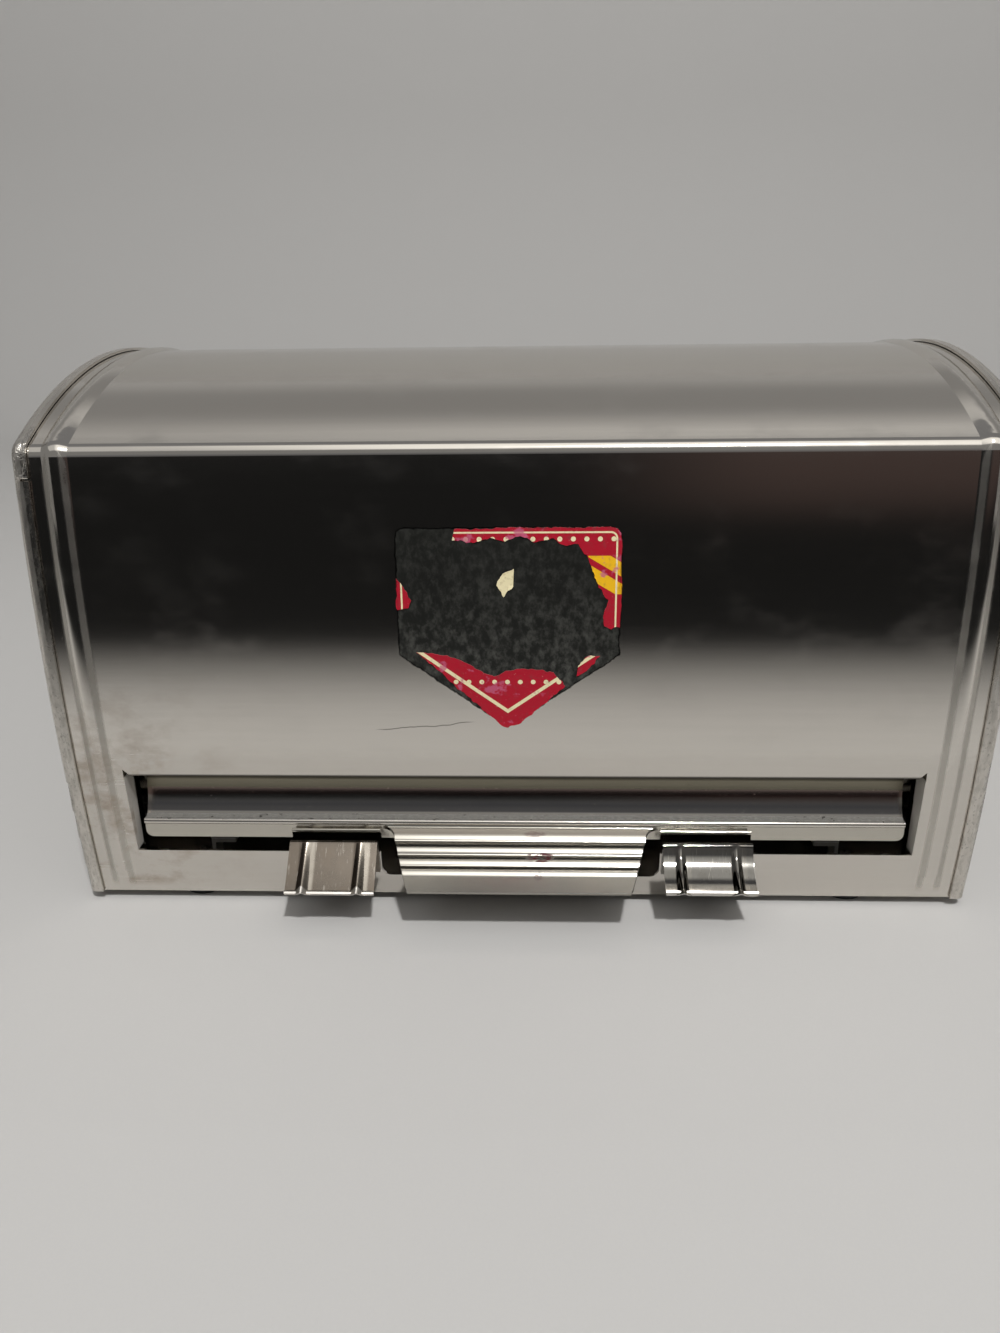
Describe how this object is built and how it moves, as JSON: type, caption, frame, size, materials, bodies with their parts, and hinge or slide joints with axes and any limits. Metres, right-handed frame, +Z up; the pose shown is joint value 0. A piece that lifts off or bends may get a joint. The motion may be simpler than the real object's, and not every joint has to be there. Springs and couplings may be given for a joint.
{
  "type": "straw dispenser with lever",
  "caption": "Countertop straw dispenser in brushed sheet steel with a curved roof, a wide front slot, a sprung press lever, straw catch clips and a rear loading door.",
  "frame": {"origin": "middle of the whole object's footprint, on the table under the feet", "axes": "+X to the right seen from the front, +Y from the front to the loading door, +Z up"},
  "size_m": [0.27, 0.1834, 0.1593],
  "materials": {
    "sheet_steel": "brushed, lightly worn",
    "turned_steel": "turned",
    "rivet": "satin",
    "plated_steel": "zinc plated",
    "foot_rubber": "matt",
    "bush_plastic": "natural nylon"
  },
  "bodies": {
    "housing": {"cover_sheet": "sheet_steel", "end_panel_left": "sheet_steel", "end_panel_right": "sheet_steel", "catch_clip_left": "sheet_steel", "catch_clip_right": "sheet_steel", "clip_backing_left": "sheet_steel", "clip_backing_right": "sheet_steel", "cheek_left": "sheet_steel", "cheek_right": "sheet_steel", "hopper_floor": "sheet_steel", "hopper_front_plate": "sheet_steel", "base_pan": "sheet_steel", "hinge_leaf_cover": "sheet_steel", "spring_anchor_left": "sheet_steel", "spring_anchor_right": "sheet_steel", "hinge_pin": "turned_steel", "base_rivets": "rivet", "hinge_rivets_cover": "rivet", "foot_screws": "plated_steel", "foot_nuts": "plated_steel", "return_spring_left": "plated_steel", "return_spring_right": "plated_steel", "foot_front_left": "foot_rubber", "foot_front_right": "foot_rubber", "foot_rear_left": "foot_rubber", "foot_rear_right": "foot_rubber", "bush_left": "bush_plastic", "bush_right": "bush_plastic"},
    "lever_rotor": {"gate_plate": "sheet_steel", "pocket_sheet": "sheet_steel", "rotor_end_left": "sheet_steel", "rotor_end_right": "sheet_steel", "rotor_shaft": "turned_steel", "shaft_clips": "turned_steel", "travel_pin_left": "turned_steel", "travel_pin_right": "turned_steel", "spring_stud_left": "turned_steel", "spring_stud_right": "turned_steel"},
    "loading_door": {"rear_door": "sheet_steel", "hinge_leaf_door": "sheet_steel", "hinge_rivets_door": "rivet"}
  },
  "joints": [
    {"name": "lever_press", "type": "hinge", "parent": "housing", "child": "lever_rotor", "pos_m": [0, -0.05035, 0.038], "axis": [1, 0, 0], "range_deg": [0, 16], "stiffness_Nm_per_rad": 0.15, "springref_deg": -17.19, "deforming": ["return_spring_left", "return_spring_right"]},
    {"name": "door_lift", "type": "hinge", "parent": "housing", "child": "loading_door", "pos_m": [0, 0.08495, 0.12354], "axis": [1, 0, 0], "range_deg": [0, 100]}
  ]
}
